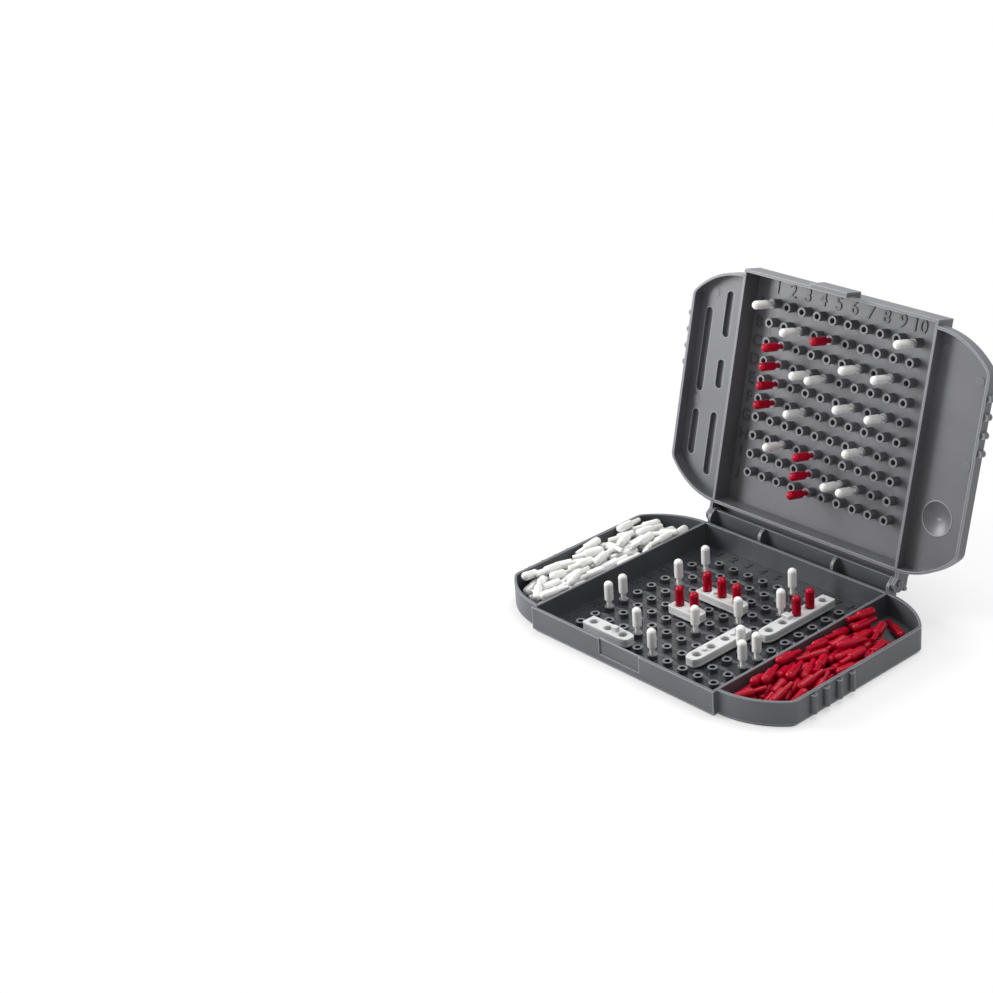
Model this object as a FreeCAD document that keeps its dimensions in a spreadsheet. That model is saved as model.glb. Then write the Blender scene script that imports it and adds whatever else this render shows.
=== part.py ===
"""Travel case for a peg game of hidden ships: a tray and a hinged lid, each with a
ten by ten grid of peg sockets, five ships, standing pegs and two stocks of loose pegs.

Millimetres. The origin is the middle of the tray's grid on the face it rests on.
+X runs along the case, from column 1 to column 10. +Y points to the hinge. +Z is up.
The lid is drawn shut, over the tray, and its placement swings it open about the hinge.
"""
import FreeCAD, Part
import math
import os
import random
import Sketcher

V = FreeCAD.Vector
doc = FreeCAD.newDocument("peg_game_case")

SIZES = {
    "pitch": 9.0,
    "well_half": 54.0,
    "well_front": 55.0,
    "well_rear": 55.5,
    "wall": 1.4,
    "rail": 1.2,
    "floor": 1.0,
    "plinth_height": 1.2,
    "plinth_inset": 1.0,
    "rim": 12.1,
    "rim_gap": 0.3,
    "wing_reach": 85.0,
    "wing_corner_front": 39.7,
    "wing_corner_rear": 41.8,
    "wing_setback": 2.6,
    "wing_bow": 40.0,
    "corner_round": 5.0,
    "corner_cut": 1.4,
    "corner_run": 2.2,
    "socket_radius": 2.2,
    "socket_bore": 1.32,
    "socket_height": 3.0,
    "lid_socket_height": 5.5,
    "grid_plate": 0.4,
    "grid_margin": 4.0,
    "lid_grid_shift": 2.05,
    "ring_gap": 13.3,
    "lid_panel": 1.5,
    "lid_edge": 1.3,
    "edge_slope": 45.0,
    "wing_side": 5.0,
    "wing_depth": 8.6,
    "wing_floor": 5.6,
    "wing_inset": 3.0,
    "wing_root": 5.0,
    "slot_depth": 2.0,
    "slot_half": 2.1,
    "slot_inner": 66.3,
    "slot_outer": 78.0,
    "apron_height": 18.8,
    "apron_thickness": 1.3,
    "apron_reach": 4.0,
    "axis_y": 62.53,
    "axis_z": 14.72,
    "open_angle": 103.5,
    "pin_radius": 1.7,
    "pin_play": 0.05,
    "ear_radius": 4.2,
    "ear_width": 1.8,
    "ear_play": 0.3,
    "knuckle_radius": 3.2,
    "knuckle_width": 1.5,
    "knuckle_inner": 21.9,
    "trough_back": 63.0,
    "trough_top": 17.2,
    "trough_out": 0.4,
    "rib_play": 0.5,
    "rib_round": 4.6,
    "latch_width": 21.0,
    "latch_drop": 7.0,
    "latch_rise": 3.0,
    "latch_thickness": 2.4,
    "latch_play": 0.3,
    "latch_recess": 0.6,
    "grip_radius": 1.6,
    "grip_step": 8.0,
    "grip_shift": 17.0,
    "grip_out": 0.3,
    "dish_radius": 7.6,
    "dish_depth": 1.8,
    "dish_x": 67.5,
    "dish_y": 29.3,
    "stem_radius": 1.25,
    "stem_tip": 1.1,
    "stem_length": 5.7,
    "head_radius": 2.05,
    "head_length": 9.5,
    "head_round": 1.9,
    "head_under": 0.6,
    "peg_proud": 3.1,
    "ship_half": 3.7,
    "ship_end": 5.2,
    "ship_rise": 2.9,
    "ship_skirt": 1.0,
    "ship_hole": 1.35,
    "ship_play": 0.35,
    "ship_bow": 9.0,
    "seat": 0.05,
    "turret_radius": 1.5,
    "turret_height": 1.2,
    "tower_height": 2.6,
    "heap_play": 0.06,
    "heap_trials": 150,
}

sheet = doc.addObject("Spreadsheet::Sheet", "Sizes")
for row, (alias, number) in enumerate(SIZES.items(), start=1):
    sheet.set("A%d" % row, alias)
    sheet.set("B%d" % row, "%r" % number)
    sheet.setAlias("B%d" % row, alias)
doc.recompute()


class Size:
    """A length that knows both its number and the sheet expression that gives it."""

    def __init__(self, value, text):
        self.value = value
        self.text = text

    def join(self, other, sign, value):
        text = other.text if isinstance(other, Size) else "%r" % float(other)
        return Size(value, "(%s %s %s)" % (self.text, sign, text))

    def __add__(self, other):
        return self.join(other, "+", self.value + number(other))

    def __sub__(self, other):
        return self.join(other, "-", self.value - number(other))

    def __mul__(self, other):
        return self.join(other, "*", self.value * number(other))

    def __truediv__(self, other):
        return self.join(other, "/", self.value / number(other))

    def __neg__(self):
        return Size(-self.value, "(0 - %s)" % self.text)


def number(item):
    return item.value if isinstance(item, Size) else float(item)


def size(alias):
    return Size(sheet.get(alias), "Sizes.%s" % alias)


def bind(target, path, length):
    """Sets a property to a size, by expression where the size comes from the sheet."""
    if isinstance(length, Size):
        target.setExpression(path, length.text)
    else:
        target.setExpression(path, "%r" % float(length))


COLUMNS = 10
LETTERS = "ABCDEFGHIJ"
ZERO = Size(0.0, "0")
pitch = size("pitch")
box_half = size("well_half") + size("rail")
box_front = size("well_front") + size("wall")
box_rear = size("well_rear") + size("wall")
wing_front = box_front - size("wing_setback")
ring_top = size("floor") + size("socket_height")
lid_rim = size("rim") + size("rim_gap")
lid_ring = ring_top + size("ring_gap")
lid_floor = lid_ring + size("lid_socket_height")
lid_top = lid_floor + size("lid_panel")
grid_edge = pitch * 4.5


def new_body(label):
    body = doc.addObject("PartDesign::Body", label)
    body.Label = label
    return body


def plane(body, role):
    return next(item for item in body.Origin.OriginFeatures if item.Role == role)


def new_sketch(body, name, role="XY_Plane", lift=None):
    """An empty sketch on one of the body's own planes, lifted along its normal."""
    sketch = body.newObject("Sketcher::SketchObject", name)
    sketch.AttachmentSupport = (plane(body, role), [""])
    sketch.MapMode = "FlatFace"
    if lift is not None:
        bind(sketch, ".AttachmentOffset.Base.z", lift)
    return sketch


def fix_point(sketch, index, place, x, y):
    """Ties one point of a sketch to a pair of sizes."""
    for kind, axis, length in (("DistanceX", -2, x), ("DistanceY", -1, y)):
        if abs(number(length)) < 1e-9:
            sketch.addConstraint(Sketcher.Constraint("PointOnObject", index, place, axis))
            continue
        item = Sketcher.Constraint(kind, -1, 1, index, place, number(length))
        at = sketch.addConstraint(item)
        bind(sketch, "Constraints[%d]" % at, length)


def middle(start, end, radius):
    """A point halfway along an arc; a positive radius bulges to the right of travel."""
    chord = end - start
    half = chord.Length / 2
    rise = abs(radius) - math.sqrt(max(0.0, radius * radius - half * half))
    side = V(chord.y, -chord.x, 0).normalize()
    return (start + end) * 0.5 + side * math.copysign(rise, radius)


def add_outline(sketch, corners):
    """Closes a loop of lines and arcs: each corner is x, y and the arc radius that follows."""
    spots = [V(number(x), number(y), 0) for x, y, bend in corners]
    ends = []
    for here, (x, y, bend) in enumerate(corners):
        start, end = spots[here], spots[(here + 1) % len(spots)]
        if bend is None:
            index = sketch.addGeometry(Part.LineSegment(start, end))
        else:
            index = sketch.addGeometry(Part.Arc(start, middle(start, end, number(bend)), end))
        forward = sketch.getPoint(index, 1).distanceToPoint(start) < 1e-6
        ends.append((index, 1, 2) if forward else (index, 2, 1))
    for here, (index, first, last) in enumerate(ends):
        after = ends[(here + 1) % len(ends)]
        sketch.addConstraint(Sketcher.Constraint("Coincident", index, last, after[0], after[1]))
    for (index, first, last), (x, y, bend) in zip(ends, corners):
        fix_point(sketch, index, first, x, y)
        if bend is None:
            continue
        span = sketch.getPoint(index, 1).distanceToPoint(sketch.getPoint(index, 2))
        if abs(span - 2 * abs(number(bend))) < 1e-6:
            sketch.addConstraint(Sketcher.Constraint("Symmetric", index, 1, index, 2, index, 3))
            continue
        at = sketch.addConstraint(Sketcher.Constraint("Radius", index, abs(number(bend))))
        bind(sketch, "Constraints[%d]" % at, bend if number(bend) > 0 else -bend)


def add_circle(sketch, x, y, radius):
    index = sketch.addGeometry(Part.Circle(V(number(x), number(y), 0), V(0, 0, 1), number(radius)))
    fix_point(sketch, index, 3, x, y)
    at = sketch.addConstraint(Sketcher.Constraint("Radius", index, number(radius)))
    bind(sketch, "Constraints[%d]" % at, radius)


def rectangle(x0, x1, y0, y1):
    return [(x0, y0, None), (x1, y0, None), (x1, y1, None), (x0, y1, None)]


def pad(body, sketch, length, reverse=False):
    feature = body.newObject("PartDesign::Pad", sketch.Name + "_pad")
    feature.Profile = sketch
    feature.Reversed = reverse
    bind(feature, "Length", length)
    sketch.Visibility = False
    doc.recompute()
    return feature


def pocket(body, sketch, depth, reverse=False):
    """Cuts a sketch into the body and makes sure that something was cut."""
    before = body.Shape.Volume
    feature = body.newObject("PartDesign::Pocket", sketch.Name + "_pocket")
    feature.Profile = sketch
    feature.Reversed = reverse
    bind(feature, "Length", depth)
    doc.recompute()
    if body.Shape.Volume > before - 1e-3:
        raise RuntimeError("pocket cut nothing: " + sketch.Name)
    return feature


def round_edges(body, radius, wanted):
    """Fillets the edges of the body's shape whose middle point passes a test."""
    names = []
    for at, edge in enumerate(body.Shape.Edges, start=1):
        spot = edge.valueAt((edge.FirstParameter + edge.LastParameter) / 2)
        if wanted(edge, spot):
            names.append("Edge%d" % at)
    if not names:
        raise RuntimeError("no edge to round on " + body.Label)
    base = body.Tip
    feature = body.newObject("PartDesign::Fillet", body.Name + "_round")
    feature.Base = (base, names)
    bind(feature, "Radius", radius)
    doc.recompute()
    return feature


def upright(edge):
    ends = [vertex.Point for vertex in edge.Vertexes]
    return len(ends) == 2 and math.hypot(ends[0].x - ends[1].x, ends[0].y - ends[1].y) < 1e-6


def case_outline(inset):
    """The plan of the case: a square box with a bowed wing on its left and right."""
    side = box_half - inset
    reach = size("wing_reach") - inset
    front, rear = box_front - inset, box_rear - inset
    start = wing_front - inset
    low, high = size("wing_corner_front"), size("wing_corner_rear")
    bow = size("wing_bow") - inset
    turn, cut, run = size("corner_round"), size("corner_cut"), size("corner_run")
    return [
        (-side, -front, None), (side, -front, None), (side, -start, bow),
        (reach - cut, -(low + cut), turn), (reach, -(low - run), None),
        (reach, high - run, turn), (reach - cut, high + cut, bow), (side, rear, None),
        (-side, rear, bow), (-(reach - cut), high + cut, turn), (-reach, high - run, None),
        (-reach, -(low - run), turn), (-(reach - cut), -(low + cut), bow), (-side, -start, None),
    ]


def wing_outline(inset):
    """The inside of the right wing, between the rail and the outer wall."""
    near = box_half
    reach = size("wing_reach") - inset
    low, high = size("wing_corner_front"), size("wing_corner_rear")
    bow = size("wing_bow") - inset
    turn, cut, run = size("corner_round"), size("corner_cut"), size("corner_run")
    return [
        (near, -(wing_front - inset), bow), (reach - cut, -(low + cut), turn),
        (reach, -(low - run), None), (reach, high - run, turn),
        (reach - cut, high + cut, bow), (near, box_rear - inset, None),
    ]


def wing_block(inset):
    """The plan of the right wing's solid, which runs a little way into the box."""
    root = box_half - size("wing_root")
    edge = wing_outline(inset)
    return [(root, edge[0][1], None)] + edge + [(root, edge[-1][1], None)]


def mirrored(corners):
    """The same loop on the other side of the case, still counter-clockwise."""
    flipped = [(-x, y) for x, y, bend in corners]
    bends = [bend for x, y, bend in corners]
    count = len(corners)
    order = [count - 1 - at for at in range(count)]
    return [(flipped[at][0], flipped[at][1], bends[at - 1]) for at in order]


def column_x(column):
    return pitch * (column - 5.5)


def row_y(row):
    return pitch * (4.5 - LETTERS.index(row))


def add_grips(body, base, height):
    """Rounded finger ribs on the outside of both end walls."""
    sketch = new_sketch(body, body.Name + "_grips", lift=base)
    for side in (-1, 1):
        for step in range(4):
            along = size("grip_step") * (step - 1.5) - size("grip_shift")
            add_circle(sketch, (size("wing_reach") + size("grip_out")) * side, along, size("grip_radius"))
    pad(body, sketch, height)


def make_tray_shell():
    body = new_body("tray_shell")
    lift = size("plinth_height")
    base = new_sketch(body, "plinth")
    add_outline(base, case_outline(size("plinth_inset")))
    pad(body, base, lift)
    walls = new_sketch(body, "tray_walls", lift=lift)
    add_outline(walls, case_outline(ZERO))
    pad(body, walls, size("rim") - lift)
    depth = size("rim") - size("floor")
    well = new_sketch(body, "tray_well", lift=size("rim"))
    half = size("well_half")
    add_outline(well, rectangle(-half, half, -size("well_front"), size("well_rear")))
    pocket(body, well, depth)
    for name, corners in (("right_bin", wing_outline(size("wall"))),
                          ("left_bin", mirrored(wing_outline(size("wall"))))):
        store = new_sketch(body, name, lift=size("rim"))
        add_outline(store, corners)
        pocket(body, store, depth)
    add_hinge_trough(body)
    recess = new_sketch(body, "latch_recess", "XZ_Plane", box_front)
    wide = size("latch_width") / 2 + 1.5
    low = size("rim") - size("latch_drop") - 0.6
    add_outline(recess, rectangle(-wide, wide, low, size("rim") + 1.0))
    pocket(body, recess, size("latch_recess"))
    add_grips(body, size("plinth_height") + 1.0, size("rim") - size("plinth_height") - 2.0)
    return body


def add_hinge_trough(body):
    """A trough behind the well: its raised rear wall, four round-backed ribs and the hinge pins."""
    axis_y, axis_z = size("axis_y"), size("axis_z")
    end = box_half - size("rail") + size("trough_out")
    back = size("trough_back")
    face = back - size("wall")
    rise = size("plinth_height")
    block = new_sketch(body, "trough_block", lift=rise)
    add_outline(block, rectangle(-end, end, box_rear - 0.7, back))
    pad(body, block, size("rim") - rise)
    foot = new_sketch(body, "trough_foot")
    edge = size("plinth_inset")
    add_outline(foot, rectangle(-(end - edge), end - edge, box_rear - 2.0, back - edge))
    pad(body, foot, rise)
    inner = end - size("knuckle_width")
    trough = new_sketch(body, "trough", lift=size("rim"))
    add_outline(trough, rectangle(-inner, inner, box_rear, face))
    pocket(body, trough, size("rim") - size("floor"))
    wall = new_sketch(body, "trough_wall", lift=size("rim"))
    add_outline(wall, rectangle(-end, end, face, back))
    pad(body, wall, size("trough_top") - size("rim"))
    wide = size("knuckle_width")
    low, high = size("rim") - 6.0, size("trough_top")
    front, bend = box_rear + size("rib_play"), size("rib_round")
    for at, middle_x in enumerate((-(end - wide / 2), -size("knuckle_inner"),
                                   size("knuckle_inner"), end - wide / 2)):
        rib = new_sketch(body, "rib_%d" % at, "YZ_Plane", middle_x - wide / 2)
        add_outline(rib, [
            (front, low, None), (face + 0.2, low, None), (face + 0.2, high, bend * -1.0),
            (front, size("rim") + 0.6, None)])
        pad(body, rib, wide)
    for side in (-1, 1):
        word = "left" if side < 0 else "right"
        knuckle = new_sketch(body, "knuckle_" + word, "YZ_Plane", end * side)
        add_circle(knuckle, axis_y, axis_z, size("knuckle_radius"))
        pad(body, knuckle, wide, side > 0)
        pin = new_sketch(body, "pin_" + word, "YZ_Plane", (end - wide / 2) * side)
        add_circle(pin, axis_y, axis_z, size("pin_radius"))
        length = wide / 2 + size("ear_play") * 2 + size("ear_width") + 0.4
        pad(body, pin, length, side < 0)


def sloped_pad(body, sketch, length, slope):
    """A pad whose sides lean inwards by an angle."""
    feature = pad(body, sketch, length)
    bind(feature, "TaperAngle", -slope)
    doc.recompute()
    return feature


def make_lid_shell():
    """A deep middle box with a shallower wing on each side, sloped in along its outer edges."""
    body = new_body("lid_shell")
    corners = rectangle(-box_half, box_half, -box_front, box_rear)
    shoulder = lid_top - size("lid_edge")
    box = new_sketch(body, "lid_box", lift=lid_rim)
    add_outline(box, corners)
    pad(body, box, shoulder - lid_rim)
    crown = new_sketch(body, "lid_crown", lift=shoulder)
    add_outline(crown, corners)
    sloped_pad(body, crown, size("lid_edge"), size("edge_slope"))
    for word in ("right", "left"):
        full, small = wing_block(ZERO), wing_block(size("wing_inset"))
        if word == "left":
            full, small = mirrored(full), mirrored(small)
        side = new_sketch(body, "lid_wing_" + word, lift=lid_rim)
        add_outline(side, full)
        pad(body, side, size("wing_side"))
        edge = new_sketch(body, "lid_wing_edge_" + word, lift=lid_rim + size("wing_side"))
        add_outline(edge, full)
        back = new_sketch(body, "lid_wing_back_" + word, lift=lid_rim + size("wing_depth"))
        add_outline(back, small)
        slope = body.newObject("PartDesign::AdditiveLoft", "lid_wing_slope_" + word)
        slope.Profile = edge
        slope.Sections = [back]
        slope.Ruled = True
        doc.recompute()
    half = size("well_half")
    well = new_sketch(body, "lid_well", lift=lid_rim)
    add_outline(well, rectangle(-half, half, -size("well_front"), size("well_rear")))
    pocket(body, well, lid_floor - lid_rim, True)
    for word, outline in (("right", wing_outline(size("wall"))),
                          ("left", mirrored(wing_outline(size("wall"))))):
        hollow = new_sketch(body, "lid_hollow_" + word, lift=lid_rim)
        add_outline(hollow, outline)
        pocket(body, hollow, size("wing_floor"), True)
    add_ship_slots(body)
    add_dish(body)
    add_apron(body)
    add_ears(body)
    add_latch(body)
    add_grips(body, lid_rim + 0.8, size("wing_side") - 1.4)
    return body


def add_ship_slots(body):
    """Five pockets in the left wing, one for each length of ship."""
    sketch = new_sketch(body, "ship_slots", lift=lid_rim + size("wing_floor"))
    half = size("slot_half")
    inner, outer = -size("slot_inner"), -size("slot_outer")
    slots = [(outer, -33.0, 8.0), (inner, -43.0, -21.0), (inner, -10.0, 4.0),
             (outer, 17.0, 39.5), (inner, 16.0, 47.0)]
    for middle_x, start, end in slots:
        low, high = ZERO + start, ZERO + end
        add_outline(sketch, [
            (middle_x - half, low + half, None), (middle_x - half, high - half, half * -1.0),
            (middle_x + half, high - half, None), (middle_x + half, low + half, half * -1.0)])
    pocket(body, sketch, size("slot_depth"), True)


def add_dish(body):
    """A round thumb dish turned into the right wing."""
    sketch = new_sketch(body, "thumb_dish", "XZ_Plane", -size("dish_y"))
    bind(sketch, ".AttachmentOffset.Base.x", size("dish_x"))
    wide, deep = size("dish_radius"), size("dish_depth")
    face = lid_rim + size("wing_floor")
    bend = (wide * wide + deep * deep) / (deep * 2.0)
    add_outline(sketch, [
        (ZERO, face - 0.1, None), (wide, face - 0.1, None), (wide, face, bend),
        (ZERO, face + deep, None)])
    before = body.Shape.Volume
    turn = body.newObject("PartDesign::Groove", "thumb_dish_turn")
    turn.Profile = sketch
    turn.ReferenceAxis = (sketch, ["V_Axis"])
    turn.Angle = 360.0
    doc.recompute()
    if body.Shape.Volume > before - 1e-3:
        raise RuntimeError("the dish cut nothing")


def add_apron(body):
    """The flap behind the hinge that hides the trough when the lid is shut and open."""
    end = box_half - size("rail") + size("trough_out") + size("ear_play") + size("ear_width")
    back = size("axis_y") + size("apron_reach")
    sketch = new_sketch(body, "apron", lift=size("apron_height"))
    add_outline(sketch, rectangle(-end, end, box_rear - 0.5, back))
    pad(body, sketch, size("apron_thickness"))
    bead = new_sketch(body, "apron_bead", lift=size("apron_height") + 0.2)
    add_outline(bead, rectangle(-end, end, back - 1.4, back))
    pad(body, bead, size("apron_thickness") + 0.6)


def add_ears(body):
    """The two ears that carry the lid on the hinge pins."""
    axis_y, axis_z = size("axis_y"), size("axis_z")
    reach = size("ear_radius")
    inner = box_half - size("rail") + size("trough_out") + size("ear_play")
    for side in (-1, 1):
        name = "ear_left" if side < 0 else "ear_right"
        ear = new_sketch(body, name, "YZ_Plane", inner * side)
        add_outline(ear, [
            (box_rear - 0.5, lid_rim + 0.2, None), (axis_y - reach * 0.6, lid_rim + 0.2, None),
            (axis_y, axis_z - reach, reach), (axis_y, axis_z + reach, None),
            (box_rear - 0.5, lid_top - 2.5, None)])
        pad(body, ear, size("ear_width"), side < 0)
        hole = new_sketch(body, name + "_hole", "YZ_Plane", inner * side)
        add_circle(hole, axis_y, axis_z, size("pin_radius") + size("pin_play"))
        pocket(body, hole, size("ear_width"), side > 0)


def add_latch(body):
    """The spring tab at the middle of the front wall that snaps over the tray."""
    half = size("latch_width") / 2
    face = box_front + size("latch_play")
    tab = new_sketch(body, "latch_tab", lift=size("rim") - size("latch_drop"))
    add_outline(tab, rectangle(-half, half, -(face + size("latch_thickness")), -face))
    height = lid_rim + size("latch_rise") - size("rim") + size("latch_drop")
    pad(body, tab, height)
    root = new_sketch(body, "latch_root", lift=lid_rim + 0.2)
    add_outline(root, rectangle(-half, half, -(face + 0.2), -(box_front - 0.4)))
    pad(body, root, size("latch_rise") - 0.2)


def make_socket_grid(label, plate_low, tube_low, tube_high, plate_up):
    """A ten by ten grid of round peg sockets on a thin plate."""
    body = new_body(label)
    edge = grid_edge + size("grid_margin")
    plate = new_sketch(body, label + "_plate", lift=plate_low)
    add_outline(plate, rectangle(-edge, edge, -edge, edge))
    pad(body, plate, size("grid_plate"))
    tube = new_sketch(body, label + "_tube", lift=tube_low)
    add_circle(tube, -grid_edge, -grid_edge, size("socket_radius"))
    risen = pad(body, tube, tube_high - tube_low)
    hole = new_sketch(body, label + "_bore", lift=tube_high if plate_up else tube_low)
    add_circle(hole, -grid_edge, -grid_edge, size("socket_bore"))
    bored = pocket(body, hole, tube_high - tube_low + size("grid_plate"), not plate_up)
    grid = body.newObject("PartDesign::MultiTransform", label + "_grid")
    grid.Originals = [risen, bored]
    steps = []
    for role in ("X_Axis", "Y_Axis"):
        step = body.newObject("PartDesign::LinearPattern", label + "_" + role)
        step.Direction = (plane(body, role), [""])
        step.Occurrences = COLUMNS
        bind(step, "Length", pitch * (COLUMNS - 1))
        steps.append(step)
    grid.Transformations = steps
    body.Tip = grid
    doc.recompute()
    return body


def make_peg(label):
    """A moulded peg: a domed head on a tapered stem. Its origin is the stem's tip."""
    body = new_body(label)
    profile = new_sketch(body, label + "_profile", "XZ_Plane")
    top = size("stem_length") + size("head_length")
    add_outline(profile, [
        (ZERO, ZERO, None), (size("stem_tip"), ZERO, None),
        (size("stem_radius"), size("stem_length"), None),
        (size("head_radius"), size("stem_length"), None),
        (size("head_radius"), top, None), (ZERO, top, None)])
    turn = body.newObject("PartDesign::Revolution", label + "_turn")
    turn.Profile = profile
    turn.ReferenceAxis = (profile, ["V_Axis"])
    turn.Angle = 360.0
    doc.recompute()
    rim, under = size("head_radius").value, size("stem_length").value
    round_edges(body, size("head_round"), lambda edge, spot: (
        len(edge.Vertexes) == 1 and spot.z > top.value - 1e-6))
    round_edges(body, size("head_under"), lambda edge, spot: (
        len(edge.Vertexes) == 1 and abs(spot.z - under) < 1e-6
        and abs(math.hypot(spot.x, spot.y) - rim) < 1e-6))
    return body


SHIPS = [
    ("aircraft_carrier", 5, 9, "A", "down", []),
    ("heavy_cruiser", 4, 8, "F", "down", [0.5, 2.5]),
    ("light_cruiser", 3, 4, "D", "across", [0.5]),
    ("submarine", 3, 2, "J", "across", []),
    ("patrol_boat", 2, 4, "F", "across", []),
]


def make_ship(label, holes, turrets):
    """A hull that drops over a run of sockets, with one peg hole over each of them."""
    body = new_body(label)
    half, end, bow = size("ship_half"), size("ship_end"), size("ship_bow")
    length = pitch * (holes - 1)
    skirt = -size("ship_skirt")
    hull = new_sketch(body, label + "_hull", lift=skirt)
    add_outline(hull, [
        (-end, -(half * 0.7), None), (half * -0.75, -half, None), (length, -half, bow),
        (length + end, -(half * 0.3), None), (length + end, half * 0.3, bow),
        (length, half, None), (half * -0.75, half, None), (-end, half * 0.7, None)])
    pad(body, hull, size("ship_rise") + size("ship_skirt"))
    under = new_sketch(body, label + "_underside", lift=skirt)
    room = size("socket_radius") + size("ship_play")
    add_outline(under, [
        (ZERO, -room, None), (length, -room, room), (length, room, None), (ZERO, room, room)])
    pocket(body, under, size("ship_skirt") + size("seat"), True)
    decks = new_sketch(body, label + "_holes", lift=size("ship_rise"))
    for step in range(holes):
        add_circle(decks, pitch * step if step else ZERO, ZERO, size("ship_hole"))
    pocket(body, decks, size("ship_rise"))
    for at, place in enumerate(turrets):
        turret = new_sketch(body, "%s_turret_%d" % (label, at), lift=size("ship_rise") - 0.2)
        add_circle(turret, pitch * place, ZERO, size("turret_radius"))
        pad(body, turret, size("turret_height") + 0.2)
    if label == "submarine":
        tower = new_sketch(body, label + "_tower", lift=size("ship_rise") - 0.2)
        wide = size("turret_radius")
        add_outline(tower, rectangle(pitch * 1.5 - wide, pitch * 1.5 + wide, -wide * 0.8, wide * 0.8))
        pad(body, tower, size("tower_height"))
    if label == "aircraft_carrier":
        island = new_sketch(body, label + "_island", lift=size("ship_rise") - 0.2)
        edge = half - 0.3
        add_outline(island, rectangle(pitch * 2.3, pitch * 2.7, edge - 1.3, edge))
        pad(body, island, size("turret_height") + 0.2)
    return body


def lid_swing():
    """The placement that swings a piece of the shut lid open about the hinge pins."""
    axis = V(0, size("axis_y").value, size("axis_z").value)
    turn = FreeCAD.Rotation(V(1, 0, 0), -size("open_angle").value)
    return FreeCAD.Placement(V(), turn, axis)


TRAY_WHITE = "B2 A7 C8 D2 E7 G1 G6 G9 G10 H1 H10 I4 J6".split()
LID_WHITE = "A1 A10 B3 C7 C9 D4 D5 E7 E9 F4 G8 H3 I7 I8".split()
LID_RED = "B5 C2 D2 E2 F2 H5 I5 J5".split()
SHIP_RED = {"aircraft_carrier": "B9 C9", "light_cruiser": "D4 D5 D6", "patrol_boat": "F4 F5"}


def spot_of(cell):
    return column_x(int(cell[1:])).value, row_y(cell[0]).value


def place_tray_peg(label, cell, floor_of_head):
    peg = make_peg(label)
    x, y = spot_of(cell)
    peg.Placement = FreeCAD.Placement(V(x, y, floor_of_head - size("stem_length").value),
                                      FreeCAD.Rotation())
    return peg


def place_lid_peg(label, cell):
    """Stands a peg in a lid socket: drawn head down over the shut tray, then swung open."""
    peg = make_peg(label)
    x, y = spot_of(cell)
    tip = lid_ring.value - size("peg_proud").value + size("stem_length").value
    down = FreeCAD.Placement(V(x, -y - size("lid_grid_shift").value, tip),
                             FreeCAD.Rotation(V(1, 0, 0), 180))
    peg.Placement = lid_swing().multiply(down)
    return peg


def segment_gap(first, second):
    """The least distance between two straight segments, each given by its two ends."""
    p, q = first
    r, s = second
    d, e, w = q - p, s - r, p - r
    a, b, c = d.dot(d), d.dot(e), e.dot(e)
    f, g = d.dot(w), e.dot(w)
    denominator = a * c - b * b
    t = 0.0 if denominator < 1e-9 else min(1.0, max(0.0, (b * g - c * f) / denominator))
    u = min(1.0, max(0.0, (b * t + g) / c))
    t = min(1.0, max(0.0, (b * u - f) / a))
    return (p + d * t - r - e * u).Length


def heap_of_pegs(count, seed, side):
    """Drops pegs one by one into a wing's bin, each at the lowest of a few random places."""
    draw = random.Random(seed)
    radius = size("head_radius").value + size("heap_play").value
    length = size("stem_length").value + size("head_length").value
    run = length - 2 * radius
    margin = size("wall").value + radius * 1.15 + 0.4
    near = box_half.value + radius + 0.2
    far = size("wing_reach").value - size("wall").value - radius - 0.2
    bottom = size("floor").value + radius + 0.02
    top = size("rim").value - 0.5
    lying = []
    for peg in range(count):
        best = None
        for trial in range(size("heap_trials").value):
            yaw = draw.uniform(0, 2 * math.pi)
            tilt = draw.uniform(-0.12, 0.12)
            along = V(math.cos(yaw) * math.cos(tilt), math.sin(yaw) * math.cos(tilt), math.sin(tilt))
            at = V(draw.uniform(near, far), draw.uniform(-wing_front.value, box_rear.value), 0)
            ends = (at - along * (run / 2), at + along * (run / 2))
            if not all(near < end.x < far and in_bin(end, margin) for end in ends):
                continue
            beside = [line for line in lying
                      if (line[0] + line[1] - ends[0] - ends[1]).Length < 2 * length + 24]
            lift = bottom - min(ends[0].z, ends[1].z)
            while lift + max(ends[0].z, ends[1].z) < top:
                rise = V(0, 0, lift)
                line = (ends[0] + rise, ends[1] + rise)
                if best is not None and lift > best[0]:
                    break
                if all(segment_gap(line, other) > 2 * radius for other in beside):
                    best = (lift, line)
                    break
                lift += 0.12
        if best is not None:
            lying.append(best[1])
    places = []
    for start, end in lying:
        first = V(start.x * side, start.y, start.z)
        way = V(end.x * side, end.y, end.z) - first
        turn = FreeCAD.Rotation(V(0, 0, 1), way)
        places.append(FreeCAD.Placement(first - way.normalize() * radius, turn))
    return places


def in_bin(point, margin):
    """Whether a point keeps clear of the bowed front and rear walls of a wing."""
    out = (point.x - box_half.value) / (size("wing_reach") - box_half).value
    front = wing_front.value + (size("wing_corner_front") - wing_front).value * out
    rear = box_rear.value + (size("wing_corner_rear") - box_rear).value * out
    return -front + margin < point.y < rear - margin


def make_heap(label, count, seed, side, pattern):
    heap = doc.addObject("Part::Feature", label)
    heap.Label = label
    shape = pattern.Shape.copy()
    shape.Placement = FreeCAD.Placement()
    solids = []
    for place in heap_of_pegs(count, seed, side):
        copy = shape.copy()
        copy.Placement = place
        solids.append(copy)
    heap.Shape = Part.makeCompound(solids)
    return heap


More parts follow.
